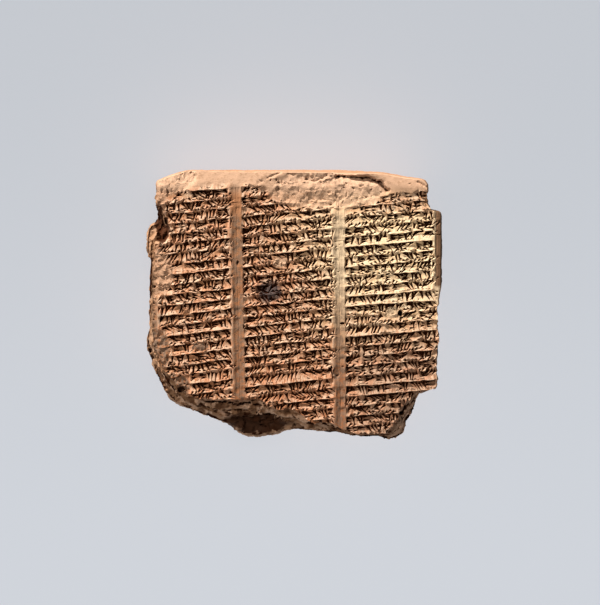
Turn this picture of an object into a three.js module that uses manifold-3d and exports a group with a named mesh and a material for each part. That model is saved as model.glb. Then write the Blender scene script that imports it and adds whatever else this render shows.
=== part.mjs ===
// A cuneiform tablet: the upper part of a large clay tablet in three columns, broken off below and at
// the left, lying on its back. One piece of clay.
// Millimetres. +X runs right across the written face, +Y to the moulded upper edge, +Z out of the
// face. The origin is under the middle of the piece, on the surface that it lies on.

import * as THREE from 'three';
import Module from 'manifold-3d';

// Overall sizes
const width = 120;
const height = 110;
const thickness = 32;

// The back: a low dome with a small flat spot that the piece rests on
const restWidth = 60;
const restHeight = 54;
const backRise = 5.5;       // from the flat spot up to where the sides start
const backInset = 5;        // how far inside the outline the back ends
const domeRings = [0, 0.35, 0.7, 1];  // shares of the way from the flat spot out to the sides
const domeCurve = 1.6;
const spotSquareness = 4;   // 2 would make the flat spot an ellipse

// The written face
const crownDrop = 1.6;      // the face is lower by this much at its corners than at its middle
const rowPitch = 4;
const strokePitch = 2.5;
const strokeDepth = 1.1;
const shallowStroke = 0.5;  // a shallow stroke, as a share of a deep one
const strokeEvenness = 0.7; // the shallowest of like strokes, as a share of the deepest
const strokeShift = 0.5;    // the strokes lie this far above the middle between two ridges
const ridgeWear = 0.2;      // how much the clay between the rows is worn down here and there
const dividerWidth = 3.8;
const dividerDepth = 0.45;

// The breaks
const stationSpacing = 3.3; // between two stations of the outline
const lumpSize = 5;         // of the lumps on a broken side

// A scar where a wide flake came off below the upper edge, and the undercut gash at its end
const scarDepth = 1.9;
const gashDepth = 2.6;
const gashWidth = 3;

// The outline runs clockwise from the upper left corner. It is a free form, so its corners are shares
// of half the width and half the height. Each stretch also says, in millimetres, how far inside the
// outline the written face ends, how far below the face the widest line runs and how rough the side
// is. A moulded stretch is rounded as the clay was shaped, and the others are broken.
const stretches = [
  {
    name: 'upper edge', faceInset: 5.5, edgeDepth: 13, roughness: 0.1, moulded: true,
    corners: [[-0.93, 0.915], [-0.84, 0.957], [-0.73, 0.995], [0.31, 0.997], [0.62, 0.978], [0.8, 0.94]],
  },
  {
    name: 'upper right corner', faceInset: 1.4, edgeDepth: 8, roughness: 0.35, moulded: false,
    corners: [[0.885, 0.924], [0.918, 0.87], [0.908, 0.738], [0.963, 0.685]],
  },
  {
    name: 'right margin strip', faceInset: 2.8, edgeDepth: 6, roughness: 0.1, moulded: false,
    corners: [[0.985, 0.692], [1, 0.66], [0.999, 0.151]],
  },
  {
    name: 'right side', faceInset: 1.2, edgeDepth: 9, roughness: 0.4, moulded: false,
    corners: [[0.986, 0.063], [0.973, -0.063], [0.985, -0.247], [0.972, -0.424], [0.976, -0.598]],
  },
  {
    name: 'lower right notch', faceInset: 2, edgeDepth: 9, roughness: 0.4, moulded: false,
    corners: [[0.953, -0.627], [0.888, -0.655], [0.841, -0.658]],
  },
  {
    name: 'lower right slope', faceInset: 6.5, edgeDepth: 14, roughness: 0.5, moulded: false,
    corners: [[0.824, -0.749], [0.8, -0.825], [0.773, -0.875], [0.748, -0.952], [0.702, -0.982]],
  },
  {
    name: 'lower right side', faceInset: 2, edgeDepth: 9, roughness: 0.4, moulded: false,
    corners: [[0.624, -0.994], [0.556, -0.97], [0.386, -0.97]],
  },
  {
    name: 'lower middle', faceInset: 7, edgeDepth: 15, roughness: 0.4, moulded: false,
    corners: [[0.298, -0.948], [0.163, -0.95], [0.068, -0.936]],
  },
  {
    name: 'hollow', faceInset: 14, edgeDepth: 18, roughness: 0.3, moulded: false,
    corners: [[-0.027, -0.936], [-0.102, -0.968], [-0.19, -0.993], [-0.278, -1], [-0.359, -0.978]],
  },
  {
    name: 'lower left', faceInset: 9, edgeDepth: 15, roughness: 0.5, moulded: false,
    corners: [[-0.481, -0.886], [-0.563, -0.844], [-0.8, -0.748], [-0.854, -0.697]],
  },
  {
    name: 'lower left corner', faceInset: 6, edgeDepth: 14, roughness: 0.5, moulded: false,
    corners: [[-0.905, -0.601], [-0.946, -0.491], [-0.981, -0.391], [-1, -0.31]],
  },
  {
    name: 'left side', faceInset: 3, edgeDepth: 10, roughness: 0.4, moulded: false,
    corners: [[-0.985, -0.21], [-0.976, 0.063], [-0.973, 0.314]],
  },
  {
    name: 'left lobe', faceInset: 8.5, edgeDepth: 13, roughness: 0.3, moulded: false,
    corners: [[-0.993, 0.432], [-0.997, 0.528], [-0.98, 0.587], [-0.929, 0.62]],
  },
  {
    name: 'upper left side', faceInset: 1.6, edgeDepth: 10, roughness: 0.2, moulded: false,
    corners: [[-0.921, 0.683], [-0.937, 0.749], [-0.936, 0.87]],
  },
];

// From the widest line in and up to the face, as shares of the way in and of the way up: a broken
// side goes up in steps, because the clay came away in layers
const brokenSteps = [[0, 0], [0.12, 0.4], [0.42, 0.52], [0.55, 0.8], [0.88, 0.9], [1, 1]];

// From the back up to the widest line, as shares of the inset that is left and of the way up
const wallSteps = [[0.35, 0.28], [0.08, 0.66]];
const wallRoughness = 2.2;  // the sides below are rougher by this factor

// The dividers between the columns, as shares of half the width at the upper and at the lower end
const dividers = [
  { upper: -0.384, lower: -0.348 },
  { upper: 0.304, lower: 0.318 },
];

// Where each column's writing starts, as a share of half the height at its left and its right end
const firstRows = [
  { left: 0.83, right: 0.9 },
  { left: 0.89, right: 0.71 },
  { left: 0.7, right: 0.86 },
];
const writtenLeft = -0.87;
const writtenRight = 0.95;

// Rough patches beside the left break where the writing is worn away
const wornPatches = [
  { x: -0.87, y: 0.24, reachX: 0.11, reachY: 0.3 },
  { x: -0.9, y: -0.34, reachX: 0.12, reachY: 0.28 },
  { x: -0.76, y: -0.6, reachX: 0.15, reachY: 0.13 },
];
const wornShare = 0.3;      // strokes are gone where a patch or the scar reaches this share

// How steeply the rows rise to the right in each column, at the upper and at the lower end
const rowSlopes = [
  { upper: 0.08, lower: 0.15 },
  { upper: 0.09, lower: 0.11 },
  { upper: 0.08, lower: 0.08 },
];

// The scar's middle and reach, the gash's bend points and the hollows, as shares of half the width
// and half the height. A hollow's depth and a hole's sizes are in millimetres.
const scar = { x: 0.22, y: 0.83, reachX: 0.5, reachY: 0.17 };
const gash = [[0.3, 0.945], [0.5, 0.925], [0.58, 0.895], [0.62, 0.84]];
const hollows = [
  { x: -0.29, y: -0.88, reachX: 0.2, reachY: 0.085, depth: 5 },
  { x: -0.89, y: 0.55, reachX: 0.075, reachY: 0.14, depth: 3.5 },
];
const holes = [
  { x: -0.753, y: -0.624, across: 3.5, along: 2.6, depth: 4 },
  { x: 0.712, y: -0.063, across: 2.4, along: 3, depth: 3.5 },
];
const holeSides = 10;
const holeTaper = 0.45;     // the bottom of a hole as a share of its mouth

const clayColour = '#b98257';
const clayRoughness = 0.92;

const halfWidth = width / 2;
const halfHeight = height / 2;
const clearance = 2;        // how far a cutting solid reaches past the clay
const faceOverlap = 0.5;    // how far a break rises past the face before the face is cut
const blendReach = 2;       // stations on each side over which one stretch goes over into the next

const { lerp, clamp, smoothstep } = THREE.MathUtils;

// A repeatable value from 0 to 1 for a whole-numbered cell of a layer
function cellValue(column, row, layer) {
  const mixed = Math.sin(column * 127.1 + row * 311.7 + layer * 74.7 + 17.3) * 43758.5453;
  return mixed - Math.floor(mixed);
}

// Lumps of lumpSize, from -1 to 1, different in each layer
function lumps(x, y, layer) {
  const column = Math.floor(x / lumpSize);
  const row = Math.floor(y / lumpSize);
  const acrossShare = smoothstep(x / lumpSize - column, 0, 1);
  const alongShare = smoothstep(y / lumpSize - row, 0, 1);
  const value = (right, up) => cellValue(column + right, row + up, layer);
  const near = lerp(value(0, 0), value(1, 0), acrossShare);
  const far = lerp(value(0, 1), value(1, 1), acrossShare);
  return 2 * lerp(near, far, alongShare) - 1;
}

// A smooth bowl: 1 at its middle and 0 from its rim outwards
function bowl(x, y, place) {
  const across = (x / halfWidth - place.x) / place.reachX;
  const along = (y / halfHeight - place.y) / place.reachY;
  return smoothstep(1 - Math.hypot(across, along), 0, 0.6);
}

function hollowDepth(x, y) {
  return hollows.reduce((depth, place) => depth + place.depth * bowl(x, y, place), 0);
}

// The distance from a point to the gash's middle line
function gashDistance(x, y) {
  const bends = gash.map(([across, along]) => new THREE.Vector3(across * halfWidth, along * halfHeight, 0));
  const point = new THREE.Vector3(x, y, 0);
  const nearest = new THREE.Vector3();
  let distance = Infinity;
  for (let index = 1; index < bends.length; index += 1) {
    new THREE.Line3(bends[index - 1], bends[index]).closestPointToPoint(point, true, nearest);
    distance = Math.min(distance, nearest.distanceTo(point));
  }
  return distance;
}

// The face without its writing
function faceHeight(x, y) {
  const cornerward = ((x / halfWidth) ** 2 + (y / halfHeight) ** 2) / 2;
  const gashShare = 1 - smoothstep(gashDistance(x, y), 0, gashWidth / 2);
  const scarShare = bowl(x, y, scar);
  return thickness - crownDrop * cornerward - scarDepth * scarShare - gashDepth * gashShare;
}

// A closed solid through rings of as many points each. The rings follow one another along an axis,
// and each runs clockwise seen from the axis's far end.
function loft(rings) {
  const count = rings[0].length;
  const positions = rings.flat(2);
  const indices = [];
  for (let ring = 1; ring < rings.length; ring += 1) {
    for (let point = 0; point < count; point += 1) {
      const next = (point + 1) % count;
      const near = (ring - 1) * count;
      const far = ring * count;
      indices.push(near + point, far + point, near + next, far + point, far + next, near + next);
    }
  }
  const ends = [rings[0], rings[rings.length - 1]];
  ends.forEach((ring, end) => {
    const box = new THREE.Box3().setFromPoints(ring.map((point) => new THREE.Vector3(...point)));
    const centre = positions.length / 3;
    positions.push(...box.getCenter(new THREE.Vector3()).toArray());
    const start = end === 0 ? 0 : (rings.length - 1) * count;
    for (let point = 0; point < count; point += 1) {
      const next = (point + 1) % count;
      const edge = end === 0 ? [start + point, start + next] : [start + next, start + point];
      indices.push(centre, ...edge);
    }
  });
  const geometry = new THREE.BufferGeometry();
  geometry.setAttribute('position', new THREE.Float32BufferAttribute(positions, 3));
  geometry.setIndex(indices);
  return geometry;
}

// The stations of the outline, each with its stretch's values blended into its neighbours'
function outlineStations() {
  const corners = stretches.flatMap((stretch) => stretch.corners.map(([across, along]) => (
    { stretch, x: across * halfWidth, y: along * halfHeight })));
  const plain = corners.flatMap((corner, index) => {
    const next = corners[(index + 1) % corners.length];
    const length = Math.hypot(next.x - corner.x, next.y - corner.y);
    const steps = Math.max(1, Math.round(length / stationSpacing));
    return Array.from({ length: steps }, (_, step) => ({
      stretch: corner.stretch,
      x: lerp(corner.x, next.x, step / steps),
      y: lerp(corner.y, next.y, step / steps),
    }));
  });
  const blended = (index, key) => {
    let sum = 0;
    for (let offset = -blendReach; offset <= blendReach; offset += 1) {
      sum += Number(plain[(index + offset + plain.length) % plain.length].stretch[key]);
    }
    return sum / (2 * blendReach + 1);
  };
  return plain.map(({ x, y }, index) => ({
    x,
    y,
    faceInset: blended(index, 'faceInset'),
    edgeDepth: blended(index, 'edgeDepth'),
    roughness: blended(index, 'roughness'),
    moulded: blended(index, 'moulded'),
  }));
}

// A station's point moved in towards the middle of the piece
function inward(station, inset) {
  const share = 1 - inset / Math.hypot(station.x, station.y);
  return [station.x * share, station.y * share];
}

// A point on the rim of the flat spot, in a station's direction
function restPoint(station) {
  const turn = Math.atan2(station.y / halfHeight, station.x / halfWidth);
  const [across, along] = [Math.cos(turn), Math.sin(turn)];
  const powers = Math.abs(across) ** spotSquareness + Math.abs(along) ** spotSquareness;
  const reach = powers ** (-1 / spotSquareness);
  return [reach * across * restWidth / 2, reach * along * restHeight / 2];
}

// A point on the dome of the back, at a share of the way out from the flat spot
function backPoint(station, share) {
  const [rimX, rimY] = inward(station, backInset);
  const [restX, restY] = restPoint(station);
  return [lerp(restX, rimX, share), lerp(restY, rimY, share), backRise * share ** domeCurve];
}

// A point on the side below the widest line
function wallPoint(station, [insetShare, upShare], layer) {
  const rough = wallRoughness * station.roughness * lumps(station.x, station.y, layer);
  const [x, y] = inward(station, backInset * insetShare + Math.max(0, rough));
  return [x, y, lerp(backRise, thickness - station.edgeDepth, upShare)];
}

// A point between the widest line and the rim of the face
function breakPoint(station, [inShare, upShare], layer) {
  const between = 4 * inShare * (1 - inShare);
  const rough = station.roughness * lumps(station.x, station.y, layer);
  const [x, y] = inward(station, station.faceInset * inShare + rough * between);
  const roundUp = Math.sqrt(1 - (1 - inShare) ** 2);
  const up = clamp(lerp(upShare + rough * between / station.edgeDepth, roundUp, station.moulded), 0, 1);
  const low = thickness - station.edgeDepth + station.roughness * lumps(station.y, station.x, layer);
  return [x, y, lerp(low, faceHeight(x, y) + faceOverlap, up) - hollowDepth(x, y)];
}

// The whole piece up to a flat top above the face: the dome of the back, the side walls and the
// breaks. The face is cut afterwards.
function clayBody() {
  const stations = outlineStations();
  return loft([
    ...domeRings.map((share) => stations.map((station) => backPoint(station, share))),
    ...wallSteps.map((step, layer) => stations.map((station) => wallPoint(station, step, layer))),
    ...brokenSteps.map((step, layer) => stations.map((station) => breakPoint(station, step, layer))),
    stations.map((station) => [...inward(station, station.faceInset), thickness + clearance]),
  ]);
}

function dividerX(divider, y) {
  return halfWidth * lerp(divider.lower, divider.upper, (y / halfHeight + 1) / 2);
}

// The bands that the face falls into from left to right, with the lines that cross each of them.
// A band's ends move with the dividers, which lean a little.
function crossLines() {
  const edge = dividerWidth / 2;
  const ends = [
    () => -halfWidth - clearance,
    (y) => dividerX(dividers[0], y) - edge,
    (y) => dividerX(dividers[0], y) + edge,
    (y) => dividerX(dividers[1], y) - edge,
    (y) => dividerX(dividers[1], y) + edge,
    () => halfWidth + clearance,
  ];
  const lines = [];
  for (let band = 0; band < ends.length - 1; band += 1) {
    const [from, to] = [ends[band], ends[band + 1]];
    const isDivider = band % 2 === 1;
    const steps = Math.round((to(0) - from(0)) / strokePitch);
    const shares = isDivider ? [0, 0.2, 0.8] : Array.from({ length: steps }, (_, step) => step / steps);
    shares.forEach((share) => lines.push({
      column: band / 2,
      inDivider: isDivider && share > 0,
      onEdge: share === 0 && band > 0,
      x: (y) => lerp(from(y), to(y), share),
    }));
  }
  lines.push({ column: 2, inDivider: false, onEdge: false, x: ends[ends.length - 1] });
  return lines;
}

// How far a row has risen at x from its height at the middle of the piece
function rowRise(x, y) {
  const down = clamp((1 - y / halfHeight) / 2, 0, 1);
  const slope = rowSlopes.map(({ upper, lower }) => lerp(upper, lower, down));
  const left = dividerX(dividers[0], y);
  const right = dividerX(dividers[1], y);
  const middle = clamp(x, left, right);
  return slope[1] * middle + slope[0] * Math.min(0, x - left) + slope[2] * Math.max(0, x - right);
}

// Whether the face is written on at a point
function isWritten(x, y, line) {
  if (line.inDivider || line.onEdge || x < writtenLeft * halfWidth || x > writtenRight * halfWidth) {
    return false;
  }
  const ends = [writtenLeft, dividers[0].upper, dividers[1].upper, writtenRight];
  const share = (x / halfWidth - ends[line.column]) / (ends[line.column + 1] - ends[line.column]);
  const { left, right } = firstRows[line.column];
  const isWorn = [scar, ...wornPatches].some((place) => bowl(x, y, place) > wornShare);
  return y < halfHeight * lerp(left, right, clamp(share, 0, 1)) && !isWorn;
}

// Everything below the written face. Each row of writing is two lines of points: the ridge above it
// and the strokes pressed below that, deep and shallow by turns.
function belowFace() {
  const lines = crossLines();
  const riseLeft = -rowRise(-halfWidth, -halfHeight);
  const riseRight = rowRise(halfWidth, -halfHeight);
  const start = halfHeight + riseLeft + clearance;
  const rowCount = Math.ceil((start + halfHeight + riseRight + clearance) / rowPitch);
  const rings = [];
  for (let half = 0; half <= 2 * rowCount; half += 1) {
    const isStroke = half % 2 === 1;
    const middleY = start - half * rowPitch / 2 + (isStroke ? strokeShift : 0);
    const surface = lines.map((line, index) => {
      const x = line.x(middleY);
      const y = middleY + rowRise(x, middleY);
      const chance = cellValue(index, half, 0);
      const strokeShare = (index % 2 === 0 ? 1 : shallowStroke) * lerp(strokeEvenness, 1, chance);
      const pressed = isStroke ? strokeDepth * strokeShare : ridgeWear * chance;
      const depth = isWritten(x, y, line) ? pressed : dividerDepth * Number(line.inDivider);
      return [x, y, faceHeight(x, y) - depth - hollowDepth(x, y)];
    });
    const floor = -clearance;
    const first = surface[0];
    const last = surface[surface.length - 1];
    rings.push([...surface, [last[0], last[1], floor], [first[0], first[1], floor]]);
  }
  return loft(rings);
}

// A tapering cutter for one hole, from above the face to the hole's bottom
function holeCutter(hole) {
  const x = hole.x * halfWidth;
  const y = hole.y * halfHeight;
  const mouth = faceHeight(x, y);
  const levels = [[mouth - hole.depth, holeTaper], [mouth + clearance, 1]];
  return loft(levels.map(([z, share]) => Array.from({ length: holeSides }, (_, side) => {
    const turn = -2 * Math.PI * side / holeSides;
    return [
      x + share * hole.across / 2 * Math.cos(turn),
      y + share * hole.along / 2 * Math.sin(turn),
      z,
    ];
  })));
}

const wasm = await Module();
wasm.setup();

function toSolid(geometry) {
  return new wasm.Manifold(new wasm.Mesh({
    numProp: 3,
    vertProperties: geometry.attributes.position.array,
    triVerts: new Uint32Array(geometry.index.array),
  }));
}

function toGeometry(solid) {
  const { vertProperties, triVerts } = solid.getMesh();
  const geometry = new THREE.BufferGeometry();
  geometry.setAttribute('position', new THREE.BufferAttribute(vertProperties, 3));
  geometry.setIndex(new THREE.BufferAttribute(triVerts, 1));
  return geometry;
}

// The tablet, moved so that the origin is under the middle of its box
function tabletGeometry() {
  const face = toSolid(clayBody()).intersect(toSolid(belowFace()));
  const pierced = holes.reduce((clay, hole) => clay.subtract(toSolid(holeCutter(hole))), face);
  const geometry = toGeometry(pierced);
  geometry.computeBoundingBox();
  const centre = geometry.boundingBox.getCenter(new THREE.Vector3());
  geometry.translate(-centre.x, -centre.y, -geometry.boundingBox.min.z);
  geometry.computeVertexNormals();
  return geometry;
}

const clay = new THREE.MeshStandardMaterial({ color: clayColour, roughness: clayRoughness, metalness: 0 });
const tablet = new THREE.Mesh(tabletGeometry(), clay);
tablet.name = 'tablet';

const group = new THREE.Group();
group.add(tablet);

export default group;
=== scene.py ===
"""The looks of a cuneiform tablet: the clay's worn face and rough breaks, its rows of pressed strokes,
its fired and dirty colours with painted light and shade on the strokes, ridges and breaks, and a
pale table with soft light seen from straight above."""

import math
import random

import bmesh
import bpy
from bpy.props import FloatProperty, FloatVectorProperty, IntProperty, PointerProperty
from mathutils import Matrix, Vector, noise
from mathutils.bvhtree import BVHTree


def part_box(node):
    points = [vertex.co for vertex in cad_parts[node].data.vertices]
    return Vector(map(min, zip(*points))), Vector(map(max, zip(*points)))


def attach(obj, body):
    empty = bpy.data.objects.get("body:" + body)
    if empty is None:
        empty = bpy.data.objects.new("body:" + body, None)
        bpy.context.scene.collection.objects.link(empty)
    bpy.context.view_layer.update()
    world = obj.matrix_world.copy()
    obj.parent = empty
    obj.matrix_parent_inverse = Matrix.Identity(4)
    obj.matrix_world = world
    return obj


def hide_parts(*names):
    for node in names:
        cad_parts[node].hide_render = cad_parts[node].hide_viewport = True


bl_info = {
    "name": "Cuneiform tablet",
    "version": (1, 0, 0),
    "blender": (4, 5, 0),
    "location": "View3D > Sidebar > Tablet",
    "description": "Dresses a broken clay tablet with pressed strokes, breaks and fired clay",
    "category": "Object",
}

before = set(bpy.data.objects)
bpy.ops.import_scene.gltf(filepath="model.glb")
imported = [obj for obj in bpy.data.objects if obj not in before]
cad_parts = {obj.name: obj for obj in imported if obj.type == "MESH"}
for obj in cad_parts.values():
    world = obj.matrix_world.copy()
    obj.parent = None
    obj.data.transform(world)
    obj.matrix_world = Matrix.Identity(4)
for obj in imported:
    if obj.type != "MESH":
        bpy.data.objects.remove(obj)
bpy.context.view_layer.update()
LOW, HIGH = (Vector(corner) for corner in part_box("tablet"))
HALF_WIDTH = (HIGH.x - LOW.x) / 2
HALF_HEIGHT = (HIGH.y - LOW.y) / 2
THICKNESS = HIGH.z
MM = 0.001
PIECE = "clay_tablet"

# The layout of the face, as shares of half the width and half the height: each divider's place at
# the upper and lower edge, the start of the left column and the end of the right one above and below
# the middle, each column's first row at its left and right end, and how fast each column's rows rise
DIVIDERS = ((-0.384, -0.348), (0.304, 0.318))
COLUMN_ENDS = (-0.91, 0.95, 0.985)
FIRST_ROWS = ((0.84, 0.9), (0.89, 0.74), (0.74, 0.85))
ROW_SLOPES = ((0.08, 0.15), (0.09, 0.11), (0.08, 0.08))

# Ovals on the face, each with its middle, half width and half height, and how far in wear starts
SCAR = (0.22, 0.83, 0.5, 0.17)
WORN_PATCHES = ((-0.91, 0.235, 0.14, 0.22), (-0.91, -0.345, 0.11, 0.2), (-0.79, -0.6, 0.13, 0.12),
                (-0.97, 0.8, 0.16, 0.2), (-0.88, 0.95, 0.3, 0.2))
WORN_SHARE = 0.3

# Small smooth places in the writing, and the holes with their width, height and depth in millimetres
BLANKS = ((-0.62, -0.31, 0.075, 0.045), (0.66, -0.06, 0.06, 0.05), (-0.09, 0.31, 0.06, 0.04),
          (-0.72, -0.04, 0.05, 0.05), (0.28, -0.51, 0.03, 0.05))
HOLES = ((-0.753, -0.624, 4.8, 3.6, 5.0), (0.712, -0.063, 2.5, 3.2, 3.5),
         (0.325, -0.137, 2.8, 1.6, 1.2))

# Hollows where a piece of the clay broke out, with their depths in millimetres
HOLLOWS = ((-0.25, -0.877, 0.26, 0.09, 5.0), (-0.905, 0.62, 0.055, 0.13, 3.0),
           (-0.87, 0.53, 0.05, 0.1, 2.6))

# The undercut gash at the end of the scar, and fine cracks, each from bend to bend
GASH = ((0.3, 0.945), (0.5, 0.925), (0.58, 0.895), (0.62, 0.84))
CRACKS = (
    ((0.07, 0.915), (0.149, 0.897), (0.225, 0.945)),
    ((-0.035, 0.957), (0.04, 0.94)),
    ((-0.115, 0.91), (-0.095, 0.885)),
    ((-0.235, 0.885), (-0.16, 0.93), (-0.085, 0.962)),
    ((0.83, 0.893), (0.9, 0.848)),
)

# Gashes between the layers of the lower break
LAYER_GASHES = (
    ((-0.64, -0.68), (-0.55, -0.715), (-0.46, -0.7), (-0.38, -0.735), (-0.3, -0.715), (-0.22, -0.74)),
    ((-0.82, -0.66), (-0.68, -0.75), (-0.5, -0.785), (-0.38, -0.77), (-0.24, -0.785)),
    ((-0.2, -0.78), (-0.08, -0.83), (0.05, -0.86), (0.16, -0.92)),
    ((0.72, -0.79), (0.76, -0.72), (0.8, -0.7)),
)

# Where the written face ends at the lower breaks, from left to right
RIM = ((-0.976, -0.387), (-0.93, -0.43), (-0.9, -0.5), (-0.87, -0.6), (-0.83, -0.68), (-0.76, -0.72),
       (-0.67, -0.71), (-0.6, -0.685), (-0.42, -0.69), (-0.217, -0.675), (-0.163, -0.727),
       (-0.061, -0.779), (0.041, -0.815), (0.176, -0.889), (0.292, -0.911), (0.346, -0.948),
       (0.569, -0.97), (0.603, -0.941), (0.651, -0.889), (0.698, -0.801), (0.725, -0.727),
       (0.814, -0.675), (0.99, -0.646))

# The groove that sets off the plain strip along the right side, and where that strip ends below
STRIP = ((0.95, 0.7), (0.951, 0.4), (0.949, 0.13))

# From one ridge down across a row to the next: where each line of the face runs, as a share of the
# way, and how deep it lies, as a share of the row's depth. The upper side of a row is steep.
ROW_PROFILE = ((0, 0), (0.06, 0.45), (0.13, 0.88), (0.24, 1), (0.44, 0.92), (0.64, 0.66), (0.84, 0.3),
               (1, 0))

# The lines along a divider in the same form, with one faint ruling near its middle
DIVIDER_LINES = ((0, 0), (0.06, 0.3), (0.15, 0.8), (0.3, 1), (0.43, 0.95), (0.48, 1.35), (0.53, 0.95),
                 (0.7, 1), (0.85, 0.8), (0.94, 0.3))

DEEPEST = 0.4            # where a stroke is deepest, as a share of its length from its head
MOST_ROWS = 60           # more rows than the face has room for
FEWEST_STROKES = 10      # a set of strokes that don't touch is cut only if it has this many
MOULDED_DEPTH = 9 * MM   # how far the moulded upper edge reaches down the face
FACET_SIZE = 2.6 * MM    # size of the patches of one tone on the breaks
RAYS = 14                # rays from each point that measure how closed in it is
RAY_LENGTH = 3 * MM

# What is stored for each point of the clay, for its colours
MARKS = ("hollow", "broken", "worn", "written", "crest", "facet", "sunken")


def lerp(start, end, share):
    return start + (end - start) * share


def ramp(value, start, end):
    """A smooth step from 0 at start to 1 at end."""
    share = min(1.0, max(0.0, (value - start) / (end - start)))
    return share * share * (3 - 2 * share)


def bowl(x, y, place):
    """A smooth bowl: 1 at the middle of a place on the face and 0 from its rim outwards."""
    across = (x / HALF_WIDTH - place[0]) / place[2]
    along = (y / HALF_HEIGHT - place[1]) / place[3]
    return ramp(1 - math.hypot(across, along), 0, 0.6)


def divider_x(divider, y):
    """The middle of a divider at a height on the face."""
    upper, lower = divider
    return HALF_WIDTH * lerp(lower, upper, (y / HALF_HEIGHT + 1) / 2)


def row_rise(x, level):
    """How far a row has risen at x from its level at the middle of the piece."""
    down = min(1.0, max(0.0, (1 - level / HALF_HEIGHT) / 2))
    slopes = [lerp(upper, lower, down) for upper, lower in ROW_SLOPES]
    left, right = (divider_x(divider, level) for divider in DIVIDERS)
    middle = min(right, max(left, x))
    return slopes[1] * middle + slopes[0] * min(0, x - left) + slopes[2] * max(0, x - right)


def row_y(x, level):
    """Where the line of the face that runs at a level lies at x. Hand-ruled lines sway a little."""
    sway = 0.35 * noise.noise(Vector((x / (9 * MM), level / (6 * MM), 0)))
    sway += 0.35 * noise.noise(Vector((x / (2.4 * MM), level / (3 * MM), 5)))
    return level + row_rise(x, level) + sway * MM


def row_level(writing, row):
    """The level of a line counted in rows from the first ridge above the piece."""
    return HALF_HEIGHT - row_rise(-HALF_WIDTH, -HALF_HEIGHT) + 2 * MM - row * writing.row_pitch


def first_row(column, share):
    """The height on the face where a column's writing starts."""
    left, right = FIRST_ROWS[column]
    share = min(1.0, max(0.0, share))
    uneven = 2 * MM * noise.noise(Vector((13 * share, column * 3.3, 0)))
    return HALF_HEIGHT * lerp(left, right, share) + uneven


def wornness(x, y):
    """How fully the writing is worn away at a point, from 0 to 1."""
    places = (SCAR, *WORN_PATCHES, *BLANKS, *(hollow[:4] for hollow in HOLLOWS))
    worn = ramp(max(bowl(x, y, place) for place in places), WORN_SHARE - 0.15, WORN_SHARE + 0.15)
    left = 1 - ramp(x, -0.93 * HALF_WIDTH, -0.9 * HALF_WIDTH)
    return max(worn, left, ramp(rim_distance(x, y), 0.2 * MM, 1 * MM))


def path_distance(x, y, path):
    """How far a point lies from a path, and how far above it."""
    point = Vector((x, y))
    nearest, above = math.inf, 0
    for first, last in zip(path, path[1:]):
        start = Vector((first[0] * HALF_WIDTH, first[1] * HALF_HEIGHT))
        along = Vector((last[0] * HALF_WIDTH, last[1] * HALF_HEIGHT)) - start
        share = min(1.0, max(0.0, (point - start).dot(along) / along.length_squared))
        away = point - (start + along * share)
        if away.length < nearest:
            nearest, above = away.length, away.y
    return nearest, above


def distance(name, description, default, **limits):
    """A length that a user may change."""
    return FloatProperty(name=name, description=description, default=default, subtype="DISTANCE",
                         unit="LENGTH", precision=5, **limits)


def tint(name, description, default):
    """A colour that a user may change."""
    return FloatVectorProperty(name=name, description=description, default=default,
                               subtype="COLOR", min=0, max=1)


def strength(name, description, default):
    """A light's strength that a user may change."""
    return FloatProperty(name=name, description=description, default=default, min=0)


class ClaySettings(bpy.types.PropertyGroup):
    """Sizes of the clay's own surface."""

    grain: distance("Grain",
        "Spacing of the mesh that the clay is shaped on", 0.9 * MM, min=0.5 * MM, max=3 * MM)
    crown_drop: distance("Crown drop",
        "How much lower the face is at its corners than at its middle", 1.6 * MM)
    break_depth: distance("Break depth", "How deep the roughness of the broken sides goes", 1.7 * MM)
    break_lump: distance("Break lump", "Size of the lumps on the broken sides", 5 * MM)
    layer_height: distance("Layer height",
        "Thickness of the layers that the clay came away in", 3.4 * MM)
    face_wear: distance("Face wear", "How uneven the worn face is", 0.16 * MM)
    scar_depth: distance("Scar depth",
        "Depth of the scar where a flake came off below the upper edge", 1.9 * MM)
    gash_depth: distance("Gash depth", "Depth of the gash at the end of the scar", 2.1 * MM)
    face_limit: IntProperty(
        name="Triangle limit", description="The finished piece has no more triangles than this",
        default=190000, min=20000, max=199000)


class WritingSettings(bpy.types.PropertyGroup):
    """Sizes of the rows and strokes."""

    row_pitch: distance("Row pitch", "From one row to the next", 4 * MM)
    line_spacing: distance("Line spacing",
        "Spacing of the lines of the face that run across the rows",
        0.58 * MM, min=0.3 * MM, max=3 * MM)
    row_depth: distance("Row depth",
        "How far a row of pressed strokes lies below the ridges beside it", 0.8 * MM)
    stroke_depth: distance("Stroke depth",
        "Depth of a full stroke below the ridge above its row", 0.95 * MM)
    divider_width: distance("Divider width", "Width of the plain strip between two columns", 3.8 * MM)
    divider_depth: distance("Divider depth", "How far the strip lies below the face", 0.3 * MM)
    seed: IntProperty(name="Seed", description="Changes every random stroke", default=11)


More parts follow.
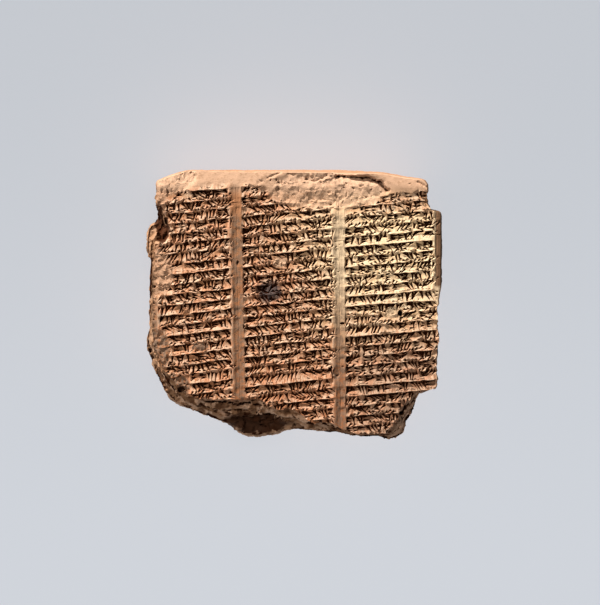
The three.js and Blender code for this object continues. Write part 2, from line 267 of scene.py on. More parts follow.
class ColourSettings(bpy.types.PropertyGroup):
    """Colours of the clay."""

    clay: tint("Clay", "Fired clay of the left and middle", (0.36, 0.165, 0.08))
    pale: tint("Pale clay", "Cream clay of the upper right", (0.68, 0.47, 0.265))
    red: tint("Red clay", "Redder clay of the lower half", (0.33, 0.12, 0.05))
    edge: tint("Edge clay", "Pinkish tan of the moulded upper edge", (0.37, 0.2, 0.115))
    broken: tint("Broken clay", "Brown core that shows on the breaks", (0.3, 0.165, 0.09))
    # Light breaks is painted light too: the lit facets and the lit lower rim of the breaks
    light: tint("Light breaks",
        "Light tan on some facets and the lower rim of the breaks", (0.62, 0.4, 0.27))
    # The rubbed, cream and warm ridge colours are partly rubbed wear and partly a painted highlight
    rubbed_and_highlit: tint("Rubbed clay",
        "Light clay along the rubbed ridges between the strokes", (0.9, 0.66, 0.48))
    cream: tint("Cream clay", "Cream along the rubbed ridges of the upper right", (0.92, 0.77, 0.55))
    warm: tint("Warm clay", "Orange clay in patches along the rubbed ridges", (0.8, 0.39, 0.23))
    dust: tint("Dust", "Grey-brown dust on the dividers and the worn places", (0.2, 0.135, 0.095))
    # Dirt is partly dark earth and partly painted shade, in the strokes, cracks, hollows and break
    # facets
    dirt_and_shade: tint("Dirt", "Dark earth left in the strokes and cracks", (0.036, 0.008, 0.0015))
    stain: tint("Stain", "Grey-black firing stain", (0.06, 0.05, 0.05))


class StageSettings(bpy.types.PropertyGroup):
    """The table, the lights and the camera."""

    floor_colour: tint("Table colour", "Colour of the pale table", (0.59, 0.62, 0.67))
    focal_length: FloatProperty(
        name="Focal length", description="Of the camera, in millimetres", default=100, min=20, max=300)
    key_power: strength("Key strength", "Strength of the low light from the upper edge", 8)
    key_rise: FloatProperty(
        name="Key height", description="How high the low light stands over the table",
        default=math.radians(15), subtype="ANGLE", unit="ROTATION")
    high_power: strength("High light", "Strength of the soft light from high above", 1.4)
    fill_power: strength("Fill light", "Strength of the soft light from the lower edge", 0.5)
    table_power: strength("Table light", "Strength of the broad light on the table", 2.8)
    room_power: strength("Room light", "Strength of the soft light from all round", 0.05)


def face_height(settings, x, y):
    """The height of the whole, unworn face without dividers, rows or strokes."""
    cornerward = ((x / HALF_WIDTH) ** 2 + (y / HALF_HEIGHT) ** 2) / 2
    return THICKNESS - 1.5 * settings.face_wear - settings.crown_drop * cornerward


def chip(place, size):
    """The depth of a flat, tilted chip at a place on a break, about 0 to 1."""
    place = place / size
    centre = noise.voronoi(place)[1][0]
    tilt = noise.noise_vector(centre * 3.1)
    return 0.5 + 0.7 * noise.noise(centre * 5.3) + 0.8 * tilt.dot(place - centre)


def rim_distance(x, y):
    """How far a point lies outside the rim of the face at the lower breaks, or 0 inside it."""
    across = x / HALF_WIDTH
    after = next((k for k, (place, _) in enumerate(RIM) if place > across), None)
    if not after:
        return 0.0
    (start, first), (end, last) = RIM[after - 1], RIM[after]
    if y > HALF_HEIGHT * lerp(first, last, (across - start) / (end - start)):
        return 0.0
    return path_distance(x, y, RIM)[0]


def rim_depth(x, y):
    """How far the face has dropped outside the rim, in ledges with chipped and gritty tops."""
    point = Vector((x, y, 0))
    away = rim_distance(x, y) + 0.8 * MM * noise.fractal(point / (3 * MM), 0.8, 2.1, 3)
    if away <= 0.6 * MM:
        return 0.0
    outside = ramp(away, 0.6 * MM, 1.1 * MM)
    ledge = away / (2.6 * MM) + 0.7 * noise.noise(point / (6 * MM))
    whole = math.floor(max(0.0, ledge))
    steps = whole + ramp(ledge - whole, 0, 0.3)
    chips = 1.1 * max(0.0, chip(point, 4.5 * MM)) + 0.5 * max(0.0, chip(point, 1.7 * MM))
    return MM * outside * (0.7 + 0.75 * steps + chips + 0.25 * noise.fractal(point / MM, 0.7, 2.1, 2))


def in_steps(share, steps, x, y):
    """A share of a depth that goes down in uneven steps, as clay that comes away in layers does."""
    level = steps * share + 0.5 * noise.noise(Vector((x, y, 0)) / (5 * MM)) * ramp(share, 0, 0.2)
    whole = math.floor(max(0.0, level))
    return (whole + ramp(level - whole, 0, 0.35)) / steps


def scar_and_hollows(clay, x, y):
    """How far the scar and the hollows take the face down, in smooth form."""
    hollow = sum(place[4] * MM * bowl(x, y, place) for place in HOLLOWS)
    return 0.45 * clay.scar_depth * bowl(x, y, SCAR) + 0.26 * max(0.0, y - 0.86 * HALF_HEIGHT) + hollow


def damage(clay, x, y):
    """How far the scar, the gash, the cracks and the hollows take the face down."""
    depth = 0.45 * clay.scar_depth * in_steps(bowl(x, y, SCAR), 2, x, y) + rim_depth(x, y)
    depth += 0.26 * max(0.0, y - 0.86 * HALF_HEIGHT) + 0.3 * max(0.0, -x - 0.9 * HALF_WIDTH)
    for place in HOLLOWS:
        depth += place[4] * MM * in_steps(bowl(x, y, place), 3, x, y)
    if y > 0.8 * HALF_HEIGHT:
        sway = 0.5 * MM * noise.noise(Vector((x, y, 0)) / (2.5 * MM))
        away, above = path_distance(x, y, GASH)
        reach = (0.9 if above > 0 else 2.2) * MM
        depth += clay.gash_depth * (1 - ramp(away + sway, 0.2 * MM, reach))
        crack = min(path_distance(x, y, path)[0] for path in CRACKS)
        depth += 0.6 * MM * (1 - ramp(crack + 0.6 * sway, 0, 0.7 * MM))
    if rim_distance(x, y) > 0:
        sway = 0.6 * MM * noise.noise(Vector((x, y, 0)) / (1.5 * MM))
        gash = min(path_distance(x, y, path)[0] for path in LAYER_GASHES)
        depth += 1.8 * MM * (1 - ramp(gash + sway, 0.1 * MM, 1.1 * MM))
    if x > 0.9 * HALF_WIDTH:
        depth += 0.6 * MM * (1 - ramp(path_distance(x, y, STRIP)[0], 0.1 * MM, 0.6 * MM))
    return depth


def moulded_share(y):
    """How fully a height on the face lies in the moulded upper edge."""
    return ramp(y, HALF_HEIGHT - MOULDED_DEPTH, HALF_HEIGHT - MOULDED_DEPTH + 3 * MM)


def roughness(x, y):
    """How gritty the worn places are, less so in the scar below the upper edge."""
    return lerp(1, 0.55, ramp(y, 0.6 * HALF_HEIGHT, 0.75 * HALF_HEIGHT))


def clay_wear(clay, x, y):
    """The unevenness of the face, chipped and gritty where the writing is worn away."""
    point = Vector((x, y, 0))
    worn = wornness(x, y)
    uneven = clay.face_wear * noise.fractal(point / (6 * MM), 0.8, 2.1, 2)
    grit = noise.fractal(point / (1.3 * MM), 0.7, 2.2, 3) * lerp(0.02, 0.5, worn * roughness(x, y)) * MM
    chips = 0
    if worn > 0:
        small = roughness(x, y) * 0.55 * chip(point, 1.6 * MM)
        chips = worn * MM * max(0.0, 0.6 * chip(point, 3.5 * MM) + small)
    pits = worn * 0.4 * MM * ramp(noise.noise(point / (1.3 * MM) + Vector((7, 3, 1))), 0.3, 0.6)
    return uneven + grit - chips - pits


def bare_height(clay, x, y):
    """The height of the face with its damage and wear, without dividers, rows or strokes."""
    return face_height(clay, x, y) - damage(clay, x, y) + clay_wear(clay, x, y)


def bands(writing, level):
    """Where the columns and the dividers between them start and end at a level of the face."""
    half = writing.divider_width / 2
    middles = [divider_x(divider, level) for divider in DIVIDERS]
    over = 1.02 * HALF_WIDTH
    return [-over, middles[0] - half, middles[0] + half, middles[1] - half, middles[1] + half, over]


def column_limits(writing, column, y):
    """Where a column's writing starts and ends at a height on the face."""
    edges = bands(writing, y)
    last = lerp(COLUMN_ENDS[2], COLUMN_ENDS[1], ramp(y, 0, 3 * MM)) * HALF_WIDTH
    return max(edges[2 * column], COLUMN_ENDS[0] * HALF_WIDTH), min(edges[2 * column + 1], last)


def written_share(writing, x, y):
    """How fully a point lies in a column's writing, 0 to 1, whatever the wear."""
    inside = 0
    for column in range(3):
        start, end = column_limits(writing, column, y)
        across = min(ramp(x, start, start + 0.8 * MM), ramp(-x, -end, -end + 1.5 * MM))
        top = first_row(column, (x - start) / (end - start))
        inside = max(inside, across * ramp(top - y, 0, 1.5 * MM))
    return inside


def profile_depth(profile, share):
    """The depth share of a profile at a share of the way across it."""
    after = next((k for k, (place, _) in enumerate(profile) if place >= share), len(profile) - 1)
    if after == 0:
        return profile[0][1]
    (start, first), (end, last) = profile[after - 1], profile[after]
    return lerp(first, last, min(1.0, (share - start) / (end - start)))


def row_depth(writing, x, y, column, row):
    """How deep a row lies below its ridges at a point. Rows start and end unevenly."""
    start, end = column_limits(writing, column, y)
    number = math.floor(row)
    ragged = 1.2 * MM * (1 + noise.noise(Vector((number * 3.7, column * 9.1, 0.5))))
    indent = 0
    if column == 0:
        indent = 2.4 * MM * max(0.0, 0.3 + noise.noise(Vector((number * 5.3, 4.4, 0))))
    begun = ramp(x - start, indent - 0.1 * MM, indent + MM)
    inside = min(begun, ramp(end - ragged - x, -0.3 * MM, 0.6 * MM))
    share = min(1.0, max(0.0, (x - start) / (end - start)))
    inside *= ramp(first_row(column, share) - y, -0.5 * MM, 2.5 * MM) * (1 - wornness(x, y))
    swell = 0.9 + 0.4 * noise.noise(Vector((x / (8 * MM), row * 0.9, 3)))
    nick = 0.35 * max(0.0, noise.noise(Vector((x / (1.1 * MM) + 1.4 * row, row * 1.2, 8))))
    return writing.row_depth * inside * (swell * profile_depth(ROW_PROFILE, row - number) + nick)


def as_mesh(piece, name):
    """The mesh that a piece's modifiers make, as plain mesh data."""
    depsgraph = bpy.context.evaluated_depsgraph_get()
    depsgraph.update()
    return bpy.data.meshes.new_from_object(piece.evaluated_get(depsgraph), depsgraph=depsgraph)


def apply_modifiers(piece):
    """Turns the piece's modifiers into its own mesh."""
    old = piece.data
    piece.data = as_mesh(piece, piece.name)
    piece.modifiers.clear()
    piece.data.name = piece.name
    bpy.data.meshes.remove(old)


def cut(piece, cutter, operation):
    """Cuts the piece with a closed shape, or keeps what lies inside it, and deletes the shape."""
    change = piece.modifiers.new(cutter.name, "BOOLEAN")
    change.operation = operation
    change.solver = "MANIFOLD"
    change.object = cutter
    before = len(piece.data.polygons)
    apply_modifiers(piece)
    if len(piece.data.polygons) in (0, before):
        raise RuntimeError(f"{cutter.name} changed nothing")
    mesh = cutter.data
    bpy.data.objects.remove(cutter)
    bpy.data.meshes.remove(mesh)


def shape_object(shape, name):
    """An object of a finished bmesh."""
    mesh = bpy.data.meshes.new(name)
    shape.to_mesh(mesh)
    shape.free()
    made = bpy.data.objects.new(name, mesh)
    bpy.context.scene.collection.objects.link(made)
    return made


def keep_one_body(mesh):
    """Deletes the crumbs that crossing strokes cut free of the clay, and makes its faces triangles."""
    shell = bmesh.new()
    shell.from_mesh(mesh)
    seen, bodies = set(), []
    for first in shell.verts:
        if first in seen:
            continue
        seen.add(first)
        body = [first]
        for vert in body:
            for edge in vert.link_edges:
                other = edge.other_vert(vert)
                if other not in seen:
                    seen.add(other)
                    body.append(other)
        bodies.append(body)
    bodies.sort(key=len)
    crumbs = [vert for body in bodies[:-1] for vert in body]
    bmesh.ops.delete(shell, geom=crumbs, context="VERTS")
    bmesh.ops.triangulate(shell, faces=shell.faces)
    shell.to_mesh(mesh)
    shell.free()


class TABLET_OT_clay(bpy.types.Operator):
    """Shapes the clay: a fine mesh of the solid with rough, layered breaks, cut to the worn face"""

    bl_idname = "tablet.clay"
    bl_label = "Shape the clay"

    def execute(self, context):
        clay = context.scene.tablet_clay
        writing = context.scene.tablet_writing
        mesh = bpy.data.objects["tablet"].data.copy()
        mesh.name = PIECE
        self.close_seams(mesh)
        piece = bpy.data.objects.new(PIECE, mesh)
        context.scene.collection.objects.link(piece)
        remesh = piece.modifiers.new("Fine clay", "REMESH")
        remesh.mode = "VOXEL"
        remesh.voxel_size = clay.grain
        apply_modifiers(piece)
        self.shape(piece.data, clay)
        cut(piece, self.face_slab(clay, writing), "INTERSECT")
        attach(piece, "root")
        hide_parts("tablet")
        return {"FINISHED"}

    @staticmethod
    def close_seams(mesh):
        """Joins the loose triangles of the solid where they meet."""
        shell = bmesh.new()
        shell.from_mesh(mesh)
        bmesh.ops.remove_doubles(shell, verts=shell.verts, dist=1e-6)
        shell.to_mesh(mesh)
        shell.free()

    def shape(self, mesh, clay):
        """Layers and roughens the breaks, within the solid's own box, and raises the face."""
        shell = bmesh.new()
        shell.from_mesh(mesh)
        for _ in range(2):
            bmesh.ops.smooth_vert(shell, verts=shell.verts, factor=0.5,
                                  use_axis_x=True, use_axis_y=True, use_axis_z=True)
        shell.normal_update()
        for vert in shell.verts:
            self.split_in_layers(vert, clay)
        shell.normal_update()
        moves = [(vert, self.rough_move(vert, clay)) for vert in shell.verts]
        for vert, move in moves:
            vert.co += move
            for axis in range(3):
                vert.co[axis] = min(HIGH[axis], max(LOW[axis], vert.co[axis]))
        for vert in shell.verts:
            self.raise_face(vert, clay)
        shell.to_mesh(mesh)
        shell.free()

    @staticmethod
    def on_break(vert, clay):
        """How fully a vertex lies on a broken side. The upper edge and the right side aren't broken."""
        x, y, z = vert.co
        below = face_height(clay, x, y) - scar_and_hollows(clay, x, y) - z
        right_side = ramp(x, 0.93 * HALF_WIDTH, 0.96 * HALF_WIDTH) * ramp(y, -2 * MM, 4 * MM)
        smooth = max(moulded_share(y), right_side)
        return ramp(below, 0.5 * MM, 1.6 * MM) * ramp(z, 0.1 * MM, 3 * MM) * lerp(1, 0.2, smooth)

    def split_in_layers(self, vert, clay):
        """Sinks a vertex of a broken slope to the flat of the layer that it lies in."""
        share = self.on_break(vert, clay) * ramp(vert.normal.z, 0.1, 0.4)
        if share == 0:
            return
        tilt = 0.1 * vert.co.x + 1.8 * MM * noise.noise(vert.co / (13 * MM))
        level = (vert.co.z + tilt) / clay.layer_height
        inside = level - math.floor(level)
        vert.co.z -= share * clay.layer_height * (inside - ramp(inside, 0.5, 0.95))

    def rough_move(self, vert, clay):
        """The roughness of the breaks, mostly into the clay."""
        share = self.on_break(vert, clay)
        if share == 0:
            return Vector((0, 0, 0))
        place = vert.co
        rough = 0.7 * chip(place, clay.break_lump) + 0.35 * chip(place, 0.4 * clay.break_lump)
        rough += 0.3 * noise.fractal(place / (1.9 * MM), 0.8, 2.1, 3)
        return -vert.normal * clay.break_depth * share * (rough - 0.2)

    @staticmethod
    def raise_face(vert, clay):
        """Raises the solid's face past the height where it is cut off again."""
        x, y, z = vert.co
        below = face_height(clay, x, y) - scar_and_hollows(clay, x, y) - z
        if vert.normal.z < 0.1 or below > 3 * MM:
            return
        vert.co.z += 3.5 * MM * (1 - ramp(below, 1.1 * MM, 1.9 * MM))

    @staticmethod
    def face_slab(clay, writing):
        """A slab whose upper side is the worn face, with lines that follow the rows."""
        across = []
        edges = bands(writing, 0)
        for band in range(5):
            if band % 2:
                across += [(band, share, depth) for share, depth in DIVIDER_LINES]
            else:
                steps = round((edges[band + 1] - edges[band]) / writing.line_spacing)
                across += [(band, step / steps, 0) for step in range(steps)]
        across.append((4, 1, 0))
        reach = row_rise(HALF_WIDTH, -HALF_HEIGHT) - row_rise(-HALF_WIDTH, -HALF_HEIGHT)
        rows = math.ceil((2 * HALF_HEIGHT + reach + 4 * MM) / writing.row_pitch)
        down = [row + share for row in range(rows) for share, _ in ROW_PROFILE[:-1]] + [rows]
        slab = bmesh.new()
        bmesh.ops.create_grid(slab, x_segments=len(across) - 1, y_segments=len(down) - 1, size=0.5)
        for vert in slab.verts:
            band, share, groove = across[round((vert.co.x + 0.5) * (len(across) - 1))]
            row = down[round((0.5 - vert.co.y) * (len(down) - 1))]
            level = row_level(writing, row)
            edges = bands(writing, level)
            x = lerp(edges[band], edges[band + 1], share)
            x += 0.35 * MM * noise.noise(Vector((x / (2.2 * MM), level / (2.2 * MM), 9)))
            y = row_y(x, level)
            if band % 2 or share == 0:
                z = bare_height(clay, x, y)
                below_top = ramp(first_row(1, band // 2) - y, 0, 3 * MM)
                crossing = ramp(noise.noise(Vector((x / (3 * MM), math.floor(row), 6))), -0.1, 0.3)
                ruled = 0.3 * writing.row_depth * crossing * profile_depth(ROW_PROFILE, row % 1)
                z -= (writing.divider_depth * groove + ruled) * below_top * (1 - wornness(x, y))
            else:
                z = bare_height(clay, x, y) - row_depth(writing, x, y, band // 2, row)
            vert.co = (x, y, z)
        rim = [edge for edge in slab.edges if edge.is_boundary]
        low = bmesh.ops.extrude_edge_only(slab, edges=rim)["geom"]
        for vert in (item for item in low if isinstance(item, bmesh.types.BMVert)):
            vert.co.z = -2 * MM
        lowest = [item for item in low if isinstance(item, bmesh.types.BMEdge) and item.is_boundary]
        bmesh.ops.contextual_create(slab, geom=lowest)
        bmesh.ops.recalc_face_normals(slab, faces=slab.faces)
        return shape_object(slab, "face_slab")


def stroke_points(x, y, z, angle, length, width, depth, rise=0.45 * MM):
    """The four corners of one pressed stroke: its broad head, its tip and its deepest point. The
    upper three are carried on above the clay along the stroke's own sides."""
    along = Vector((math.cos(angle), math.sin(angle), 0))
    across = Vector((-along.y, along.x, 0))
    head = Vector((x, y, z))
    deepest = head + along * (DEEPEST * length) - Vector((0, 0, depth))
    corners = [head - across * (width / 2), head + along * length, head + across * (width / 2)]
    carried = [deepest + (corner - deepest) * ((depth + rise) / depth) for corner in corners]
    return carried + [deepest]


class StrokeSet:
    """Strokes that don't touch one another, so that one cut can take them all."""

    CELL = 4 * MM

    def __init__(self):
        self.strokes = []
        self.cells = {}

    def cells_of(self, box):
        low_x, low_y, high_x, high_y = (math.floor(edge / self.CELL) for edge in box)
        return [(i, j) for i in range(low_x, high_x + 1) for j in range(low_y, high_y + 1)]

    def has_room(self, box):
        near = (other for cell in self.cells_of(box) for other in self.cells.get(cell, ()))
        return not any(box[0] <= other[2] and other[0] <= box[2] and box[1] <= other[3]
                       and other[1] <= box[3] for other in near)

    def add(self, stroke, box):
        self.strokes.append(stroke)
        for cell in self.cells_of(box):
            self.cells.setdefault(cell, []).append(box)


def sort_strokes(strokes):
    """Shares the strokes out over as few sets as keep them apart."""
    sets = []
    gap = 0.05 * MM
    for stroke in strokes:
        xs = [corner.x for corner in stroke]
        ys = [corner.y for corner in stroke]
        box = (min(xs) - gap, min(ys) - gap, max(xs) + gap, max(ys) + gap)
        home = next((group for group in sets if group.has_room(box)), None)
        if home is None:
            home = StrokeSet()
            sets.append(home)
        home.add(stroke, box)
    return sets


def unit_stroke():
    """A three-sided cone and the matrix that takes its four corners to the unit corners."""
    shape = bmesh.new()
    bmesh.ops.create_cone(shape, cap_ends=True, segments=3, radius1=1, radius2=0, depth=1)
    corners = sorted((vert.co.copy() for vert in shape.verts), key=lambda corner: corner.z)
    shape.free()
    return corner_matrix(corners).inverted()


def corner_matrix(corners):
    """The matrix whose columns lead from the last corner to the other three, with its place."""
    last = corners[3]
    columns = [corner - last for corner in corners[:3]]
    matrix = Matrix((columns[0], columns[1], columns[2])).transposed().to_4x4()
    matrix.translation = last
    return matrix


def stroke_cutter(name, strokes):
    """One object with a closed, three-sided cone for each stroke."""
    shape = bmesh.new()
    to_unit = unit_stroke()
    for corners in strokes:
        place = corner_matrix(corners) @ to_unit
        if place.determinant() < 0:
            place = corner_matrix([corners[2], corners[1], corners[0], corners[3]]) @ to_unit
        bmesh.ops.create_cone(shape, cap_ends=True, segments=3, radius1=1, radius2=0, depth=1,
                              matrix=place)
    return shape_object(shape, name)


class Scribe:
    """Presses strokes along one row, from left to right."""

    def __init__(self, clay, writing, draw):
        self.clay = clay
        self.writing = writing
        self.draw = draw
        self.strokes = []

    def press(self, along, down, angle, length, width, depth=1.0):
        """A stroke whose head lies at a place along the row and below its upper ridge, in
        millimetres, and points at an angle to the row in degrees."""
        draw, writing = self.draw, self.writing
        x = self.start_x + along * MM
        row = self.row_number + down * MM / writing.row_pitch
        y = row_y(x, row_level(writing, row))
        if wornness(x, y) > 0.5 or draw.random() < 0.02:
            return
        slope = math.atan2(row_y(x + MM, self.level) - row_y(x - MM, self.level), 2 * MM)
        turn = math.radians(angle + draw.gauss(0, 6))
        length *= draw.uniform(0.88, 1.12)
        tip = x + length * MM * math.cos(turn + slope)
        if not self.start_x - 0.7 * MM < tip < self.end_x + 0.5 * MM and length < 6:
            return
        middle = row - DEEPEST * length * MM * math.sin(turn) / writing.row_pitch
        across = x + DEEPEST * length * MM * math.cos(turn + slope)
        z = bare_height(self.clay, x, y) - row_depth(writing, across, y, self.column, middle)
        wear = 0.5 + 0.5 * noise.noise(Vector((x, y, 0)) / (9 * MM))
        depth = writing.stroke_depth * depth * draw.uniform(0.85, 1.1) * lerp(1.1, 0.85, wear)
        width *= draw.uniform(0.88, 1.12)
        self.strokes.append(stroke_points(x, y, z, turn + slope, length * MM, width * MM, depth))

    def uprights(self, along):
        """One to three steep strokes side by side."""
        count = self.draw.choice((1, 2, 3))
        lean = self.draw.uniform(-16, 16)
        for number in range(count):
            down, reach = self.draw.uniform(-0.35, 0.25), self.draw.uniform(3.6, 4.6)
            self.press(along + 0.7 + number * 1.5, down, -90 + lean, reach, 1.95)
        return 0.2 + 1.5 * count

    def levels(self, along):
        """Two or three level strokes one above another."""
        count = self.draw.choice((2, 2, 3))
        length = self.draw.uniform(2.6, 5)
        for number in range(count):
            down = 0.85 + number * 2.5 / count
            depth = (0.95, 0.9, 0.85)[number]
            self.press(along - 0.2, down, 0, length * self.draw.uniform(0.8, 1.1), 1.5, depth)
        return length * 0.72

    def slants(self, along):
        """Two to four slanting strokes that lean the same way."""
        count = self.draw.choice((2, 3, 4))
        angle = self.draw.choice((-38, -50, -62, -118, -130, -142))
        for number in range(count):
            down = self.draw.uniform(-0.3, 0.3)
            self.press(along + 0.6 + number * 1.45, down, angle, self.draw.uniform(3.6, 4.6), 1.9)
        return 0.2 + 1.45 * count

    def corners(self, along):
        """One short, broad stroke."""
        down = self.draw.uniform(0.2, 1.6)
        self.press(along + 0.8, down, self.draw.choice((-30, -150)), 2.5, 2.5)
        return 1.7

    def crossed(self, along):
        """Two level strokes with two steep ones over them."""
        length = self.draw.uniform(2.6, 3.6)
        self.press(along - 0.1, 1.1, 0, length, 1.5, 0.9)
        self.press(along - 0.1, 2.6, 0, length * 0.85, 1.4, 0.85)
        self.press(along + length * 0.55, -0.1, -95, 4.2, 1.7)
        self.press(along + length + 0.3, 0, -85, 4, 1.6)
        return length + 1

    def crest_strokes(self, length):
        """Strokes that break up the ridge below the row, leaning in runs to one side or the other."""
        along = self.draw.uniform(0, 1)
        while along < length - 0.5:
            lean = self.draw.choice((-30, -42, -56, -124, -138, -150))
            for _ in range(self.draw.choice((1, 2, 3, 4))):
                down, reach = self.draw.uniform(2.2, 3.1), self.draw.uniform(2.3, 3.2)
                self.press(along, down, lean, reach, self.draw.uniform(1.6, 2.1), 0.9)
                along += self.draw.uniform(1.25, 1.7)
            if self.draw.random() < 0.35:
                down, reach = self.draw.uniform(1.6, 3), self.draw.uniform(2, 3.6)
                self.press(along, down, self.draw.choice((0, 178)), reach, 1.4, 0.9)
                along += 0.7 * reach

    def tail(self, along):
        """A long thin stroke at the end of a row."""
        self.press(along, self.draw.uniform(1.2, 2.4), 3, self.draw.uniform(6, 9), 1.2, 0.85)

    def row(self, column, number, start_x, end_x):
        """Fills a row with groups of strokes, in no order that spells anything."""
        self.column, self.row_number = column, number
        self.level = row_level(self.writing, number)
        self.start_x, self.end_x = start_x, end_x
        length = (end_x - start_x) / MM
        groups = (self.uprights, self.levels, self.levels, self.slants, self.slants,
                  self.slants, self.corners, self.crossed)
        if self.draw.random() < 0.85:
            self.crest_strokes(length)
        along = self.draw.uniform(0, 0.3)
        while along < length - 1:
            along += self.draw.choice(groups)(along) + self.draw.uniform(-0.12, 0.1)
        if self.draw.random() < 0.2:
            self.tail(length - 6)


class TABLET_OT_writing(bpy.types.Operator):
    """Presses rows of strokes that aren't letters into the face, and bores the holes"""

    bl_idname = "tablet.writing"
    bl_label = "Press the strokes"

    def execute(self, context):
        clay = context.scene.tablet_clay
        writing = context.scene.tablet_writing
        piece = bpy.data.objects[PIECE]
        draw = random.Random(writing.seed)
        scribe = Scribe(clay, writing, draw)
        self.fill_columns(scribe)
        sets = [group for group in sort_strokes(scribe.strokes) if len(group.strokes) >= FEWEST_STROKES]
        for number, group in enumerate(sets):
            cut(piece, stroke_cutter(f"strokes_{number}", group.strokes), "DIFFERENCE")
        cut(piece, self.hole_cutter(clay), "DIFFERENCE")
        self.thin_out(piece, clay)
        return {"FINISHED"}

    @staticmethod
    def fill_columns(scribe):
        writing = scribe.writing
        inner = 0.3 * MM
        for number in range(MOST_ROWS):
            for column in range(3):
                level = row_level(writing, number + 0.3)
                start, end = column_limits(writing, column, level)
                places = [lerp(start, end, step / 40) for step in range(41)]
                inside = [x for step, x in enumerate(places)
                          if abs(row_y(x, level)) < HALF_HEIGHT and row_y(x, level) + 0.3 * MM
                          < first_row(column, step / 40)]
                if len(inside) > 3:
                    scribe.row(column, number, inside[0] + inner, inside[-1])

    @staticmethod
    def hole_cutter(clay):
        """Tapering holes with uneven rims."""
        shape = bmesh.new()
        for across, along, width, height, depth in HOLES:
            x, y = across * HALF_WIDTH, along * HALF_HEIGHT
            top = face_height(clay, x, y) + 1 * MM
            low = Matrix.Translation((x, y, top - (depth + 1) * MM / 2))
            size = Matrix.Diagonal((width / 2 * MM, height / 2 * MM, (depth + 1) * MM, 1))
            made = bmesh.ops.create_cone(shape, cap_ends=True, segments=14, radius1=0.5, radius2=1.1,
                                         depth=1, matrix=low @ size)
            for vert in made["verts"]:
                away = 0.35 * noise.noise(vert.co / (1.1 * MM))
                vert.co.x += (vert.co.x - x) * away
                vert.co.y += (vert.co.y - y) * away
        return shape_object(shape, "holes")

    @staticmethod
    def thin_out(piece, clay):
        keep_one_body(piece.data)
        triangles = len(piece.data.polygons)
        if triangles > clay.face_limit:
            thin = piece.modifiers.new("Thin out", "DECIMATE")
            thin.ratio = clay.face_limit / triangles
            thin.use_collapse_triangulate = True
            apply_modifiers(piece)
            keep_one_body(piece.data)


class Value:
    """A socket of a node tree, so that shader maths reads as an expression."""

    def __init__(self, graph, socket):
        self.graph = graph
        self.socket = socket

    def maths(self, operation, first, second=None):
        inputs = {0: first} if second is None else {0: first, 1: second}
        return self.graph.node("ShaderNodeMath", {"operation": operation}, inputs)

    def __add__(self, other):
        return self.maths("ADD", self, other)

    def __radd__(self, other):
        return self.maths("ADD", other, self)

    def __sub__(self, other):
        return self.maths("SUBTRACT", self, other)

    def __rsub__(self, other):
        return self.maths("SUBTRACT", other, self)

    def __mul__(self, other):
        return self.maths("MULTIPLY", self, other)

    def __rmul__(self, other):
        return self.maths("MULTIPLY", other, self)

    def __pow__(self, other):
        return self.maths("POWER", self, other)

    def most(self, other):
        return self.maths("MAXIMUM", self, other)

    def step(self, start, end):
        """A smooth step from 0 at start to 1 at end."""
        return self.graph.node("ShaderNodeMapRange", {"interpolation_type": "SMOOTHSTEP"},
                               {"Value": self, "From Min": start, "From Max": end})


class Graph:
    """The nodes of one material."""

    def __init__(self, name):
        self.material = bpy.data.materials.new(name)
        self.material.use_nodes = True
        self.tree = self.material.node_tree
        self.shader = self.tree.nodes["Principled BSDF"]

    def node(self, kind, settings=None, inputs=None, output=0):
        """Adds a node. Its settings are set before its sockets get their values or links."""
        made = self.tree.nodes.new(kind)
        for key, value in (settings or {}).items():
            setattr(made, key, value)
        for key, value in (inputs or {}).items():
            self.feed(made.inputs[key], value)
        return Value(self, made.outputs[output])

    def feed(self, socket, value):
        if isinstance(value, Value):
            self.tree.links.new(value.socket, socket)
        else:
            socket.default_value = value

    def axes(self, place):
        """The three coordinates of a place."""
        split = self.node("ShaderNodeSeparateXYZ", {}, {0: place}).socket.node
        return [Value(self, split.outputs[axis]) for axis in "XYZ"]

    def attribute(self, name):
        return self.node("ShaderNodeAttribute", {"attribute_name": name}, output="Fac")

    def mix(self, factor, first, second):
        """A colour between two others."""
        sockets = {0: factor, 6: colour(first), 7: colour(second)}
        return self.node("ShaderNodeMix", {"data_type": "RGBA"}, sockets, 2)

    def turned(self, place, degrees, stretch):
        """A place scaled along each axis and then turned about the upright one."""
        sockets = {"Vector": place, "Rotation": (0, 0, math.radians(degrees)), "Scale": stretch}
        return self.node("ShaderNodeMapping", {"vector_type": "POINT"}, sockets)

    def noise(self, place, size, detail, roughness=0.55):
        """Cloudy noise whose clouds measure about size."""
        sockets = {"Vector": place, "Scale": 1 / size, "Detail": detail, "Roughness": roughness}
        return self.node("ShaderNodeTexNoise", {}, sockets)


def colour(value):
    return value if isinstance(value, Value) else (*value, 1)


def scaled(shades, share):
    """A colour made darker or lighter."""
    return tuple(share * shade for shade in shades)


